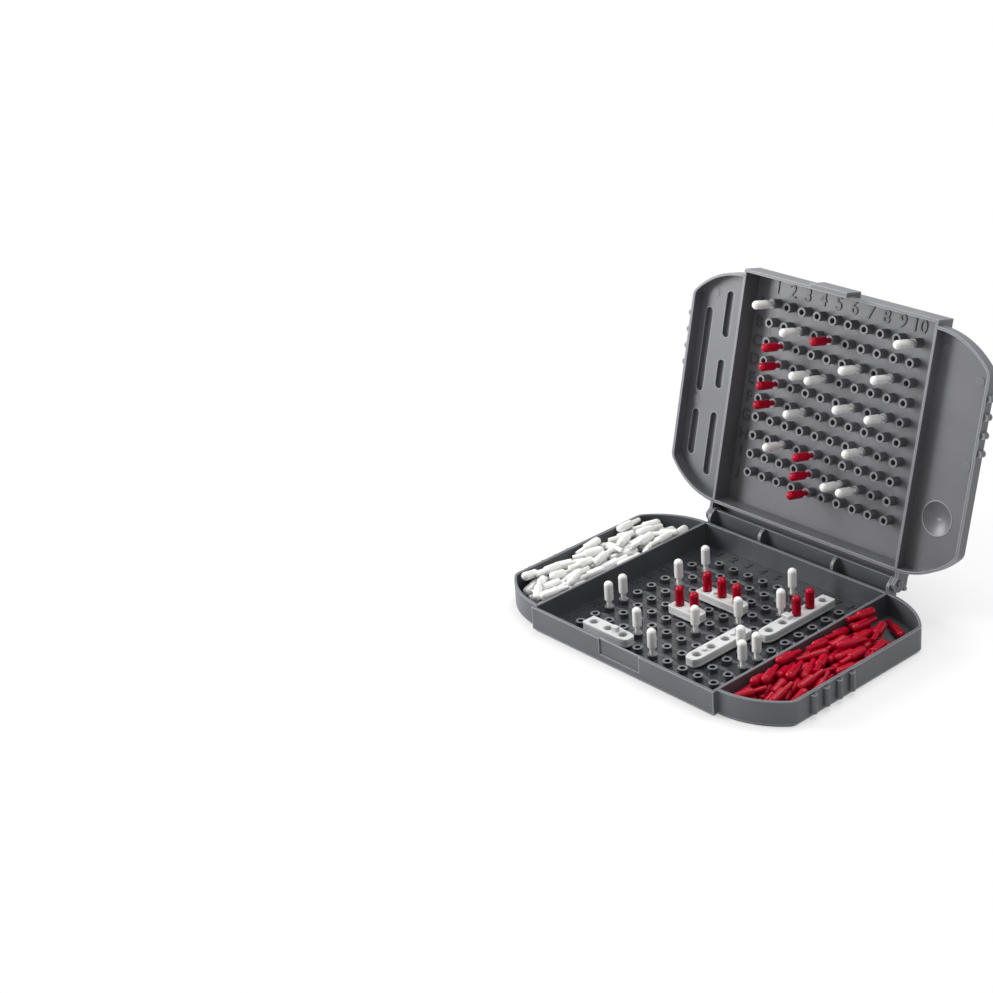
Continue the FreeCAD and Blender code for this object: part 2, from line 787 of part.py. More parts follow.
pieces = []
tray = make_tray_shell()
pieces.append(tray)
pieces.append(make_socket_grid("tray_socket_grid", size("floor"), size("floor") + size("grid_plate"),
                               ring_top, True))
lid = make_lid_shell()
lid_grid = make_socket_grid("lid_socket_grid", lid_floor - size("grid_plate"), lid_ring,
                            lid_floor - size("grid_plate"), False)
lid.Placement = lid_swing()
lid_grid.Placement = lid_swing().multiply(
    FreeCAD.Placement(V(0, -size("lid_grid_shift").value, 0), FreeCAD.Rotation()))
pieces += [lid, lid_grid]

ship_top = ring_top + size("ship_rise") + size("seat")
for label, holes, column, row, course, turrets in SHIPS:
    ship = make_ship(label, holes, turrets)
    turn = FreeCAD.Rotation(V(0, 0, 1), -90 if course == "down" else 0)
    ship.Placement = FreeCAD.Placement(V(column_x(column).value, row_y(row).value, ring_top.value), turn)
    pieces.append(ship)
    for cell in SHIP_RED.get(label, "").split():
        pieces.append(place_tray_peg("peg_red_tray_" + cell.lower(), cell, ship_top.value))
for cell in TRAY_WHITE:
    pieces.append(place_tray_peg("peg_white_tray_" + cell.lower(), cell,
                                 ring_top.value + size("peg_proud").value))
for cell in LID_WHITE:
    pieces.append(place_lid_peg("peg_white_lid_" + cell.lower(), cell))
for cell in LID_RED:
    pieces.append(place_lid_peg("peg_red_lid_" + cell.lower(), cell))
doc.recompute()
pieces.append(make_heap("white_peg_stock", 90, 11, -1, pieces[-1]))
pieces.append(make_heap("red_peg_stock", 60, 19, 1, pieces[-2]))

doc.recompute()
for item in doc.Objects:
    if "Invalid" in item.State or "Error" in item.State:
        raise RuntimeError("failed: %s %s" % (item.Label, item.State))
for piece in pieces:
    if piece.Shape.isNull() or not piece.Shape.isValid():
        raise RuntimeError("bad shape: " + piece.Label)

os.makedirs("parts", exist_ok=True)
for piece in pieces:
    piece.Shape.exportStep("parts/%s.step" % piece.Label)
    print(piece.Label, len(piece.Shape.Solids), round(piece.Shape.Volume, 2))
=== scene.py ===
"""Travel case for a peg game of hidden ships, stood open on a white studio floor."""
import math
import random
import bmesh
import bpy
import numpy
from mathutils import Matrix, Vector


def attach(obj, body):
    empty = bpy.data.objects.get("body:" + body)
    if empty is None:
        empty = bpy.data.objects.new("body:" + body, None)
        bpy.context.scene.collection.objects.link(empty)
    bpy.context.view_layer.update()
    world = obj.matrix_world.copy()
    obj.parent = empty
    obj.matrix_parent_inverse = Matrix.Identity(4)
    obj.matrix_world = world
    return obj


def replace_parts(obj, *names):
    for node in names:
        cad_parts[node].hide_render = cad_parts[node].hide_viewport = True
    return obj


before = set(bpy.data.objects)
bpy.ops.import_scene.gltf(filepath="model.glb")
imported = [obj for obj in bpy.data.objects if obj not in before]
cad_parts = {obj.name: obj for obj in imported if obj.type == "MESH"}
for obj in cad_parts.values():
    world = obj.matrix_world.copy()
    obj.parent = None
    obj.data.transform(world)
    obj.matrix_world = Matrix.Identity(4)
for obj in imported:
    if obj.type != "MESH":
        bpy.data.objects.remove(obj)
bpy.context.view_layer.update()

MM = 0.001


# Case shells: the tray and the lid are two thin-walled injection mouldings in grey ABS.
# The mould leaves a fine satin texture, and the arrises are slightly rounded. A painted highlight
# makes them paler, so the rims show as thin light lines.
ABS_IOR = 1.53
SATIN, SATIN_GRAIN = 0.4, (0.6, 0.3)
SHELL_ARRIS = 0.35
CLOUD_WIDTH, GRAIN_HEIGHT, POLISH_SPREAD, HIGHLIGHT_BLEND = 38.0, 0.05, 0.06, 0.2


def linear(hex_colour):
    """An sRGB hex value as a linear colour."""
    parts = [int(hex_colour[at:at + 2], 16) / 255 for at in (1, 3, 5)]
    return [p / 12.92 if p <= 0.04045 else ((p + 0.055) / 1.055) ** 2.4 for p in parts] + [1.0]


def add_node(tree, kind, settings=None, links=None):
    """A shader node with its settings (properties or input values) and incoming links."""
    node = tree.nodes.new(kind)
    for name, value in (settings or {}).items():
        if hasattr(node, name):
            setattr(node, name, value)
        else:
            node.inputs[name].default_value = value
    for name, source in (links or {}).items():
        tree.links.new(source, node.inputs[name])
    return node


def moulded_plastic(name, colours, roughness, grain, arris_mm, ior=ABS_IOR, highlight_above_mm=None):
    """A moulded polymer: a cloudy tint, a fine tool texture and rounded arrises with a painted highlight.

    The colours are the two ends of the tint and the painted highlight on the arrises. The grain is a width
    in millimetres, coarser than a real tool's texture so that it shows, and a bump strength.
    What lies above the given height in millimetres gets that painted highlight too.
    """
    dark, pale, painted_highlight = (linear(colour) for colour in colours)
    grain_mm, grain_depth = grain
    material = bpy.data.materials.new(name)
    material.use_nodes = True
    tree = material.node_tree
    shader = tree.nodes["Principled BSDF"]
    place = add_node(tree, "ShaderNodeTexCoord").outputs["Object"]
    cloud = add_node(tree, "ShaderNodeTexNoise", {"Scale": 1 / (CLOUD_WIDTH * MM), "Detail": 4.0},
                     {"Vector": place})
    tint = add_node(tree, "ShaderNodeValToRGB", links={"Fac": cloud.outputs["Fac"]})
    for stop, position, colour in zip(tint.color_ramp.elements, (0.35, 0.65), (dark, pale)):
        stop.position = position
        stop.color = colour
    # Painted highlight: the arrises are painted paler, so the rims show as light lines.
    near_edge = add_node(tree, "ShaderNodeAmbientOcclusion",
                         {"samples": 6, "inside": True, "only_local": True, "Distance": 2 * arris_mm * MM})
    edge_highlight_mask = add_node(tree, "ShaderNodeMapRange",
                    {"From Min": 0.55, "From Max": 0.92, "To Min": 0.85, "To Max": 0.0},
                    {"Value": near_edge.outputs["AO"]})
    skin = add_node(tree, "ShaderNodeMixRGB", {"Color2": painted_highlight},
                    {"Fac": edge_highlight_mask.outputs["Result"], "Color1": tint.outputs["Color"]})
    # Painted highlight: what lies above the given height is painted paler, like the arrises.
    if highlight_above_mm is not None:
        height = add_node(tree, "ShaderNodeSeparateXYZ", links={"Vector": place})
        top_highlight_mask = add_node(tree, "ShaderNodeMapRange",
                        {"From Min": (highlight_above_mm - HIGHLIGHT_BLEND) * MM, "From Max": highlight_above_mm * MM,
                         "To Min": 0.0, "To Max": 0.5}, {"Value": height.outputs["Z"]})
        skin = add_node(tree, "ShaderNodeMixRGB", {"Color2": painted_highlight},
                        {"Fac": top_highlight_mask.outputs["Result"], "Color1": skin.outputs["Color"]})
    texture = add_node(tree, "ShaderNodeTexNoise", {"Scale": 1 / (grain_mm * MM), "Detail": 2.0},
                       {"Vector": place})
    polish = add_node(tree, "ShaderNodeMapRange",
                      {"From Min": 0.3, "From Max": 0.7, "To Min": roughness - POLISH_SPREAD,
                       "To Max": roughness + POLISH_SPREAD}, {"Value": cloud.outputs["Fac"]})
    arris = add_node(tree, "ShaderNodeBevel", {"samples": 4, "Radius": arris_mm * MM})
    bump = add_node(tree, "ShaderNodeBump", {"Strength": grain_depth, "Distance": GRAIN_HEIGHT * MM},
                    {"Height": texture.outputs["Fac"], "Normal": arris.outputs["Normal"]})
    tree.links.new(skin.outputs["Color"], shader.inputs["Base Color"])
    tree.links.new(polish.outputs["Result"], shader.inputs["Roughness"])
    tree.links.new(bump.outputs["Normal"], shader.inputs["Normal"])
    shader.inputs["IOR"].default_value = ior
    return material


def dress(node, material):
    """Gives a CAD node its finish."""
    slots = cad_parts[node].data.materials
    slots.clear()
    slots.append(material)


case_abs = moulded_plastic("satin_grey_abs", ("#55565b", "#606167", "#9fa0a6"), SATIN, SATIN_GRAIN,
                           SHELL_ARRIS)
# Painted shade: the tray's copy of the grey ABS is painted darker than the lid's.
shaded_tray_abs = moulded_plastic("shade_painted_satin_abs", ("#484a4f", "#525459", "#96979d"), SATIN, SATIN_GRAIN,
                           SHELL_ARRIS)
dress("tray_shell", shaded_tray_abs)
dress("lid_shell", case_abs)

# Socket grids: ten rows of ten peg sockets, each grid moulded with its panel in grey ABS.
# The tray's panel is polished and darker, with a painted highlight on its socket tops. The lid's is satin.
SOCKETS, PITCH, ROWS = 10, 9.0, "ABCDEFGHIJ"
MIDDLE = (SOCKETS - 1) / 2
POLISHED, FINE_GRAIN = 0.22, (0.5, 0.2)
SOCKET_ARRIS, HIGHLIGHT_TOP = 0.2, 3.9


def socket_at(column, row):
    """The middle of a socket on the tray, by its number and letter."""
    return (column - 1 - MIDDLE) * PITCH, (MIDDLE - ROWS.index(row)) * PITCH


# The tray panel's socket tops get a painted highlight.
tray_panel_abs = moulded_plastic("dark_polished_abs", ("#34353a", "#3e3f44", "#8c8d92"), POLISHED,
                                 FINE_GRAIN, SOCKET_ARRIS, highlight_above_mm=HIGHLIGHT_TOP)
lid_panel_abs = moulded_plastic("panel_grey_abs", ("#5a5b60", "#65666b", "#94959a"), SATIN, SATIN_GRAIN,
                                SOCKET_ARRIS)
dress("tray_socket_grid", tray_panel_abs)
dress("lid_socket_grid", lid_panel_abs)

# Panel floors: the level floor around each grid runs to the walls of the well, and covers the edge
# of the grid's plate, so that no step shows. It has the panel's finish, with no painted highlight on its
# edges.
# The lid's floor, like all that follows in the lid, is drawn shut and swung open on the hinge pins.
HINGE_Y, HINGE_Z, LID_OPEN = 62.53, 14.72, 103.5
WELL_HALF, WELL_FRONT, WELL_REAR, WALL_GAP = 54.0, -55.0, 55.5, 0.02
GRID_MARGIN = 2.5
GRID_HALF = MIDDLE * PITCH + GRID_MARGIN
TRAY_FLOOR, LID_FLOOR, FLOOR_SKIN = 1.0, 22.8, 0.45
LID_SHIFT = 2.05
SHARP = 0.05


def spot_at(x, y, z):
    """A place in millimetres, as a matrix."""
    return Matrix.Translation(Vector((x, y, z)) * MM)


hinge = spot_at(0, HINGE_Y, HINGE_Z)
swing = hinge @ Matrix.Rotation(math.radians(-LID_OPEN), 4, "X") @ hinge.inverted()


def set_piece(name, mesh, body, material):
    """A piece from a finished mesh. It moves with a body."""
    piece = bpy.data.objects.new(name, mesh)
    bpy.context.scene.collection.objects.link(piece)
    mesh.materials.clear()
    mesh.materials.append(material)
    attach(piece, body)
    return piece


def new_piece(name, shape, body, material):
    """A piece from a bmesh, with its faces turned outwards."""
    bmesh.ops.recalc_face_normals(shape, faces=shape.faces)
    mesh = bpy.data.meshes.new(name)
    shape.to_mesh(mesh)
    shape.free()
    return set_piece(name, mesh, body, material)


def add_rectangle(shape, half, front, rear, z):
    """The edges of a level rectangle across the middle of the case."""
    corners = ((-half, front, z), (half, front, z), (half, rear, z), (-half, rear, z))
    verts = [shape.verts.new(Vector(corner) * MM) for corner in corners]
    return [shape.edges.new(pair) for pair in zip(verts, verts[1:] + verts[:1])]


def thicken(shape, faces, move):
    """Extrudes faces by a move in millimetres, and gives back the faces at the far end."""
    edges = {edge for face in faces for edge in face.edges}
    grown = bmesh.ops.extrude_face_region(shape, geom=faces + list(edges))["geom"]
    ends = [item for item in grown if isinstance(item, bmesh.types.BMFace)]
    verts = [item for item in grown if isinstance(item, bmesh.types.BMVert)]
    bmesh.ops.translate(shape, vec=Vector(move) * MM, verts=verts)
    return ends


def panel_floor(name, grid_y, low, body, material, place):
    """A level frame between a grid and the walls of its well."""
    shape = bmesh.new()
    well = add_rectangle(shape, WELL_HALF - WALL_GAP, WELL_FRONT + WALL_GAP, WELL_REAR - WALL_GAP, low)
    grid = add_rectangle(shape, GRID_HALF, grid_y - GRID_HALF, grid_y + GRID_HALF, low)
    bmesh.ops.bridge_loops(shape, edges=well + grid)
    thicken(shape, shape.faces[:], (0, 0, FLOOR_SKIN))
    bmesh.ops.transform(shape, matrix=place, verts=shape.verts)
    return new_piece(name, shape, body, material)


tray_floor_abs = moulded_plastic("dark_floor_abs", ("#34353a", "#3e3f44", "#3e3f44"), POLISHED, FINE_GRAIN,
                                 SHARP)
lid_floor_abs = moulded_plastic("floor_grey_abs", ("#5a5b60", "#65666b", "#65666b"), SATIN, SATIN_GRAIN,
                                SHARP)
panel_floor("tray_panel_floor", 0.0, TRAY_FLOOR, "tray", tray_floor_abs, Matrix.Identity(4))
panel_floor("lid_panel_floor", -LID_SHIFT, LID_FLOOR - FLOOR_SKIN, "lid", lid_floor_abs, swing)

# Waves: low round ridges, moulded in the tray's panel, that wander between the rows of sockets.
# They catch the light, so their grey is a little paler than the panel's.
WAVE_REACH, WAVE_SWAY, WAVE_LENGTH, WAVE_SHIFT = 42, 1.1, 18.0, 0.35
WAVE_HALF, WAVE_LOW, WAVE_RISE = 1.8, 1.35, 0.5
WAVE_POLISH = 0.25


def wave_middle(gap, x):
    """Where a wave's crest lies between two rows, at a place along it."""
    phase = math.tau * (x / WAVE_LENGTH + gap * WAVE_SHIFT)
    return (MIDDLE - 0.5 - gap) * PITCH + WAVE_SWAY * math.sin(phase)


waves = bmesh.new()
for gap in range(SOCKETS - 1):
    ridge = [(-WAVE_REACH, wave_middle(gap, -WAVE_REACH) + WAVE_HALF * part / 3,
              WAVE_LOW + WAVE_RISE / 2 * (1 + math.cos(math.pi * part / 3))) for part in range(-3, 4)]
    ends = [waves.faces.new([waves.verts.new(Vector(point) * MM) for point in ridge])]
    for x in range(-WAVE_REACH, WAVE_REACH):
        ends = thicken(waves, ends, (1, wave_middle(gap, x + 1) - wave_middle(gap, x), 0))
for face in waves.faces:
    face.smooth = True
wave_abs = moulded_plastic("wave_grey_abs", ("#44454a", "#4e4f54", "#4e4f54"), WAVE_POLISH, FINE_GRAIN,
                           SHARP)
new_piece("tray_wave_relief", waves, "tray", wave_abs)

# Moulding marks in the lid: the round traces of ejector pins on the floors of its wings,
# and the crisp rim of the thumb dish. All are one moulding with the lid's ABS.
WING_FLOOR = 18.0
PIN_MARKS = ((58.2, -44.5), (77.1, -34.2), (77.6, 3.0), (-75.5, -40.8), (-78.8, 12.4))
PIN_RADIUS, PIN_HEIGHT = 2.3, 0.3
DISH_X, DISH_Y = 67.5, 29.3
RIM_INNER, RIM_OUTER, RIM_LOW, RIM_HIGH = 7.5, 7.95, -0.15, 0.1


def add_turned(shape, profile, steps, place, ring=False):
    """Turns a profile of (radius, height) points about z, and joins it to a shape in its place.

    The turned form is capped at both ends, or it is a ring whose profile closes on itself.
    """
    lathe = bmesh.new()
    verts = [lathe.verts.new((radius * MM, 0, height * MM)) for radius, height in profile]
    edges = [lathe.edges.new(pair) for pair in zip(verts, verts[1:] + verts[:1] if ring else verts[1:])]
    bmesh.ops.spin(lathe, geom=verts + edges, cent=(0, 0, 0), axis=(0, 0, 1), angle=math.tau, steps=steps,
                   use_merge=True)
    if not ring:
        bmesh.ops.holes_fill(lathe, edges=lathe.edges[:], sides=0)
    bmesh.ops.transform(lathe, matrix=place, verts=lathe.verts)
    mesh = bpy.data.meshes.new("turned")
    lathe.to_mesh(mesh)
    lathe.free()
    shape.from_mesh(mesh)
    bpy.data.meshes.remove(mesh)


marks = bmesh.new()
for x, y in PIN_MARKS:
    bmesh.ops.create_cone(marks, cap_ends=True, segments=32, radius1=PIN_RADIUS * MM,
                          radius2=PIN_RADIUS * MM, depth=PIN_HEIGHT * MM, matrix=spot_at(x, y, WING_FLOOR))
bmesh.ops.transform(marks, matrix=swing, verts=marks.verts)
new_piece("lid_pin_marks", marks, "lid", lid_floor_abs)
rim = bmesh.new()
rim_section = ((RIM_INNER, RIM_HIGH), (RIM_INNER, RIM_LOW), (RIM_OUTER, RIM_LOW), (RIM_OUTER, RIM_HIGH))
add_turned(rim, rim_section, 64, swing @ spot_at(DISH_X, DISH_Y, WING_FLOOR), ring=True)
new_piece("lid_dish_rim", rim, "lid", case_abs)

# Trough ribs: four plates behind the tray's well, moulded with the tray in its ABS.
# Each has a round back up to the hinge wall.
TROUGH_FRONT, TROUGH_WALL = 57.4, 61.8
RIB_LOW, RIB_SHOULDER, RIB_TOP, RIB_WIDTH = 6.2, 12.7, 17.15, 1.52
RIB_PLACES = (-53.65, -21.9, 21.9, 53.65)
QUARTER_TURN = [math.pi * step / 16 for step in range(9)]
round_back = [(TROUGH_FRONT + (TROUGH_WALL - TROUGH_FRONT) * (1 - math.cos(turn)),
               RIB_SHOULDER + (RIB_TOP - RIB_SHOULDER) * math.sin(turn)) for turn in QUARTER_TURN]
rib_side = [(TROUGH_FRONT, RIB_LOW)] + round_back + [(TROUGH_WALL, RIB_LOW)]
ribs = bmesh.new()
for middle in RIB_PLACES:
    corners = [ribs.verts.new(Vector((middle - RIB_WIDTH / 2, y, z)) * MM) for y, z in rib_side]
    thicken(ribs, [ribs.faces.new(corners)], (RIB_WIDTH, 0, 0))
new_piece("trough_ribs", ribs, "tray", shaded_tray_abs)

# Ships: five small hulls moulded in off-white ABS, loose on the sockets. Each has a deck with
# wide peg holes on a skirt that goes round its sockets, and some carry gun houses or a tower.
SOCKET_TOP = 4.0
SHIP_HALF, SHIP_BOW, SHIP_STERN = 3.7, 4.9, 4.1
NOSE_HALF, STERN_HALF, STERN_CUT = 1.5, 3.2, 3.4
DECK_HOLE, SKIRT_ROOM = 1.95, 2.55
DECK_PLAY, DECK_HEIGHT, SKIRT_DEPTH = 0.05, 2.9, 1.0
DECK_LOW, DECK_TOP, SKIRT_LOW = SOCKET_TOP + DECK_PLAY, SOCKET_TOP + DECK_HEIGHT, SOCKET_TOP - SKIRT_DEPTH
DECK_EDGE, SKIRT_EDGE = 0.3, 0.02
GUN_RADIUS, GUN_HEIGHT, HOUSE_SINK, HOUSE_EDGE = 1.5, 1.2, 0.2, 0.3
GUN_TOP, HOUSE_LOW = DECK_TOP + GUN_HEIGHT, DECK_TOP - HOUSE_SINK
gun_house = ((GUN_RADIUS, HOUSE_LOW), (GUN_RADIUS, GUN_TOP - HOUSE_EDGE), (GUN_RADIUS - HOUSE_EDGE, GUN_TOP))
HALF_TURN = [math.pi * step / 12 for step in range(13)]
# Each ship: its holes, the socket of its stern hole, and its turn in degrees.
SHIPS = (("aircraft_carrier", 5, 9, "A", -90), ("heavy_cruiser", 4, 8, "F", -90),
         ("light_cruiser", 3, 4, "D", 0), ("submarine", 3, 2, "J", 0), ("patrol_boat", 2, 4, "F", 0))
# Gun houses by their places along the deck, in holes. Each deck house: its place in holes,
# half its length, its two sides and its height.
GUN_HOUSES = {"heavy_cruiser": (0.5, 2.5), "light_cruiser": (0.5,)}
DECK_HOUSES = {"submarine": (1.5, 1.5, -1.2, 1.2, 2.4), "aircraft_carrier": (2.5, 1.8, -3.4, 0.8, 1.6)}
ship_abs = moulded_plastic("off_white_abs", ("#c3c4c5", "#d0d1d0", "#e4e4e2"), roughness=0.42,
                           grain=(0.5, 0.25), arris_mm=0.3)


def circle(x, y, radius):
    """The points of a circle."""
    return [(x + radius * math.cos(math.tau * step / 32), y + radius * math.sin(math.tau * step / 32))
            for step in range(32)]


def mesh_of(curve):
    """The mesh of a flat curve or of a text, before it has a place."""
    holder = bpy.data.objects.new(curve.name, curve)
    bpy.context.scene.collection.objects.link(holder)
    bpy.context.view_layer.update()
    mesh = bpy.data.meshes.new_from_object(holder)
    bpy.data.objects.remove(holder)
    return mesh


def add_slab(shape, loops, low, high, edge):
    """A flat plate from closed loops, the first its outline and the rest its holes."""
    plan = bpy.data.curves.new("plan", "CURVE")
    plan.dimensions = "2D"
    plan.fill_mode = "BOTH"
    plan.extrude = ((high - low) / 2 - edge) * MM
    plan.bevel_depth = edge * MM
    plan.bevel_resolution = 2
    plan.offset = -edge * MM
    for loop in loops:
        spline = plan.splines.new("POLY")
        spline.points.add(len(loop) - 1)
        for point, (x, y) in zip(spline.points, loop):
            point.co = (x * MM, y * MM, 0, 1)
        spline.use_cyclic_u = True
    mesh = mesh_of(plan)
    mesh.transform(spot_at(0, 0, (low + high) / 2))
    shape.from_mesh(mesh)


def add_block(shape, x0, x1, y0, y1, low, high):
    """A small deck house with softened edges."""
    centre = spot_at((x0 + x1) / 2, (y0 + y1) / 2, (low + high) / 2)
    extent = Matrix.Diagonal(((x1 - x0) * MM, (y1 - y0) * MM, (high - low) * MM, 1))
    made = bmesh.ops.create_cube(shape, size=1.0, matrix=centre @ extent)
    edges = {edge for vert in made["verts"] for edge in vert.link_edges}
    bmesh.ops.bevel(shape, geom=list(edges), offset=HOUSE_EDGE * MM, segments=2, profile=0.5, material=-1,
                    affect="EDGES")


for label, holes, column, row, turn in SHIPS:
    length = (holes - 1) * PITCH
    bow = [(length + SHIP_BOW * math.sin(angle), SHIP_HALF - (SHIP_HALF - NOSE_HALF) * (1 - math.cos(angle)))
           for angle in QUARTER_TURN]
    side = [(-SHIP_STERN, STERN_HALF), (-STERN_CUT, SHIP_HALF)] + bow
    outline = [(x, -y) for x, y in side] + side[::-1]
    round_end = [(SKIRT_ROOM * math.sin(angle), SKIRT_ROOM * math.cos(angle)) for angle in HALF_TURN]
    hollow = [(-x, y) for x, y in round_end] + [(length + x, -y) for x, y in round_end]
    hull = bmesh.new()
    add_slab(hull, [outline] + [circle(at * PITCH, 0, DECK_HOLE) for at in range(holes)],
             DECK_LOW, DECK_TOP, DECK_EDGE)
    add_slab(hull, [outline, hollow], SKIRT_LOW, DECK_LOW + SKIRT_EDGE, SKIRT_EDGE)
    for hole in GUN_HOUSES.get(label, ()):
        add_turned(hull, gun_house, 32, spot_at(hole * PITCH, 0, 0))
    if label in DECK_HOUSES:
        hole, half, near, far, height = DECK_HOUSES[label]
        add_block(hull, hole * PITCH - half, hole * PITCH + half, near, far, HOUSE_LOW, DECK_TOP + height)
    start = spot_at(*socket_at(column, row), 0)
    bmesh.ops.transform(hull, matrix=start @ Matrix.Rotation(math.radians(turn), 4, "Z"), verts=hull.verts)
    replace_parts(new_piece(label + "_hull", hull, label, ship_abs), label)

# Pegs: polystyrene, moulded in white and in deep red with a polished head. Its IOR is about 1.59.
# Both colours are matched below that, the red far below, because its sheen is weak and it stays deep.
PEG_GRAIN, PEG_ARRIS = (0.8, 0.1), 0.2
white_styrene = moulded_plastic("white_polystyrene", ("#e4e4e2", "#efefec", "#f4f4f1"), roughness=0.24,
                                grain=PEG_GRAIN, arris_mm=PEG_ARRIS, ior=1.55)
red_styrene = moulded_plastic("red_polystyrene", ("#a0001f", "#ae0026", "#b80830"), roughness=0.28,
                              grain=PEG_GRAIN, arris_mm=PEG_ARRIS, ior=1.28)
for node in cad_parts:
    if node.startswith("peg_white"):
        dress(node, white_styrene)
    if node.startswith("peg_red"):
        dress(node, red_styrene)

# Loose pegs: a heap in each bin of the tray, laid peg by peg. Each peg takes the lowest of many
# places, mostly along the bin, and then settles by small nudges. Balls along a peg stand for its
# outline. The far end of the red bin is bare, apart from one stray peg along its wall.
PEG_LENGTH, PEG_STEPS = 15.2, 16
PEG_RINGS = ((0.0, 0.9), (0.15, 1.1), (0.5, 1.12), (5.5, 1.24), (5.7, 1.26), (5.75, 1.5), (5.95, 1.9),
             (6.3, 2.05), (6.8, 2.05), (12.8, 2.05), (13.3, 2.04), (14.1, 1.85), (14.75, 1.35), (15.1, 0.7),
             (PEG_LENGTH, 0.2))
STEM_BALLS = [(0.6 + 1.1 * at, 1.25) for at in range(5)]
HEAD_BALLS = [(6.75 + 1.6 * at, 2.05) for at in range(5)]
PEG_BALLS = numpy.array(STEM_BALLS + HEAD_BALLS)
BIN_NEAR, BIN_FAR, BIN_WALL = 55.2, 85.0, 1.4
BIN_FRONT, BIN_REAR = (-53.8, -39.7), (56.9, 41.8)
BIN_FLOOR, HEAP_TOP, HEAP_ROOM, HEAP_PLAY = 1.0, 14.3, 0.35, 0.05
TRIALS, NUDGES = 160, 100
LOW_SPREAD, HIGH_SPREAD, TILT_SPREAD = 0.12, 0.4, 0.09
NUDGE_ACROSS, NUDGE_ALONG, NUDGE_YAW = 1, 1.5, 0.15
WHITE_TRIED, RED_TRIED, RED_BARE = 130, 100, 11.0
WHITE_SEED, RED_SEED = 11, 19
STRAY_X, STRAY_ROOM, STRAY_LIFT = 67.5, 3.0, 2.1


def peg_at(x, y, yaw, tilt):
    """A peg's balls, as x, y, z and radius, when its middle lies over x, y."""
    way = numpy.array((math.cos(yaw) * math.cos(tilt), math.sin(yaw) * math.cos(tilt), math.sin(tilt)))
    spots = numpy.outer(PEG_BALLS[:, 0] - PEG_LENGTH / 2, way) + (x, y, 0)
    return numpy.column_stack((spots, PEG_BALLS[:, 1]))


def wall_at(ends, x):
    """Where a slanted wall of a bin stands at x, and how its slant stretches a distance from it."""
    slope = (ends[1] - ends[0]) / (BIN_FAR - BIN_NEAR)
    return ends[0] + (x - BIN_NEAR) * slope, math.hypot(1, slope)


def in_bin(balls, bare):
    """Whether a peg keeps clear of a bin's walls and of the bare strip at its rear."""
    x, y, radius = balls[:, 0], balls[:, 1], balls[:, 3]
    room = radius + HEAP_ROOM
    front, front_lean = wall_at(BIN_FRONT, x)
    rear, rear_lean = wall_at(BIN_REAR, x)
    return ((x > BIN_NEAR + room) & (x < BIN_FAR - BIN_WALL - room)
            & (y > front + (BIN_WALL + room) * front_lean)
            & (y < rear - bare - (BIN_WALL + room) * rear_lean)).all()


def lift_of(balls, heap):
    """How far a peg is lifted to lie on the floor or on the pegs below it."""
    lift = (BIN_FLOOR + balls[:, 3] + HEAP_PLAY - balls[:, 2]).max()
    if len(heap):
        touch = balls[:, None, 3] + heap[None, :, 3] + HEAP_PLAY
        flat = (balls[:, None, 0] - heap[None, :, 0]) ** 2 + (balls[:, None, 1] - heap[None, :, 1]) ** 2
        rise = heap[None, :, 2] + numpy.sqrt(numpy.maximum(touch ** 2 - flat, 0)) - balls[:, None, 2]
        lift = max(lift, numpy.where(flat < touch ** 2, rise, -numpy.inf).max())
    return lift


def lay_heap(count, seed, bare):
    """The poses of a heap's pegs, each as x, y, yaw, tilt and lift."""
    draw = random.Random(seed)
    heap = numpy.zeros((0, 4))
    poses = []
    for peg in range(count):
        best = None
        spread = LOW_SPREAD if peg < count / 2 else HIGH_SPREAD
        for trial in range(TRIALS + NUDGES):
            if trial < TRIALS:
                pose = (draw.uniform(BIN_NEAR, BIN_FAR), draw.uniform(BIN_FRONT[0], BIN_REAR[0]),
                        draw.choice((-1, 1)) * math.pi / 2 + draw.gauss(0, spread),
                        draw.gauss(0, TILT_SPREAD))
            elif best is None:
                break
            else:
                x, y, yaw, tilt = best[1]
                pose = (x + draw.gauss(0, NUDGE_ACROSS), y + draw.gauss(0, NUDGE_ALONG),
                        yaw + draw.gauss(0, NUDGE_YAW), tilt + draw.gauss(0, TILT_SPREAD))
            balls = peg_at(*pose)
            if in_bin(balls, bare):
                lift = lift_of(balls, heap)
                if (balls[:, 2] + balls[:, 3]).max() + lift < HEAP_TOP and (best is None or lift < best[0]):
                    best = (lift, pose)
        if best is not None:
            heap = numpy.vstack((heap, peg_at(*best[1]) + (0, 0, best[0], 0)))
            poses.append(best[1] + (best[0],))
    return poses


def heap_piece(name, poses, side, material, node):
    """The pegs of one bin as turned solids in one mesh, which stand for that bin's node."""
    profile = [(radius, along - PEG_LENGTH / 2) for along, radius in PEG_RINGS]
    shape = bmesh.new()
    for x, y, yaw, tilt, lift in poses:
        way = Vector((math.cos(yaw) * math.cos(tilt) * side, math.sin(yaw) * math.cos(tilt), math.sin(tilt)))
        across = way.cross(Vector((0, 0, 1))).normalized()
        upward = across.cross(way)
        lie = Matrix((upward, across, way)).transposed().to_4x4()
        add_turned(shape, profile, PEG_STEPS, spot_at(x * side, y, lift) @ lie)
    for face in shape.faces:
        face.smooth = len(face.verts) == 4
    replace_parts(new_piece(name, shape, "tray", material), node)


stray_rear, stray_lean = wall_at(BIN_REAR, STRAY_X)
stray = (STRAY_X, stray_rear - (BIN_WALL + STRAY_ROOM) * stray_lean, -math.acos(1 / stray_lean), 0.0,
         BIN_FLOOR + STRAY_LIFT)
white_poses = lay_heap(WHITE_TRIED, WHITE_SEED, 0.0)
red_poses = lay_heap(RED_TRIED, RED_SEED, RED_BARE) + [stray]
heap_piece("white_peg_heap", white_poses, -1, white_styrene, "white_peg_stock")
heap_piece("red_peg_heap", red_poses, 1, red_styrene, "red_peg_stock")
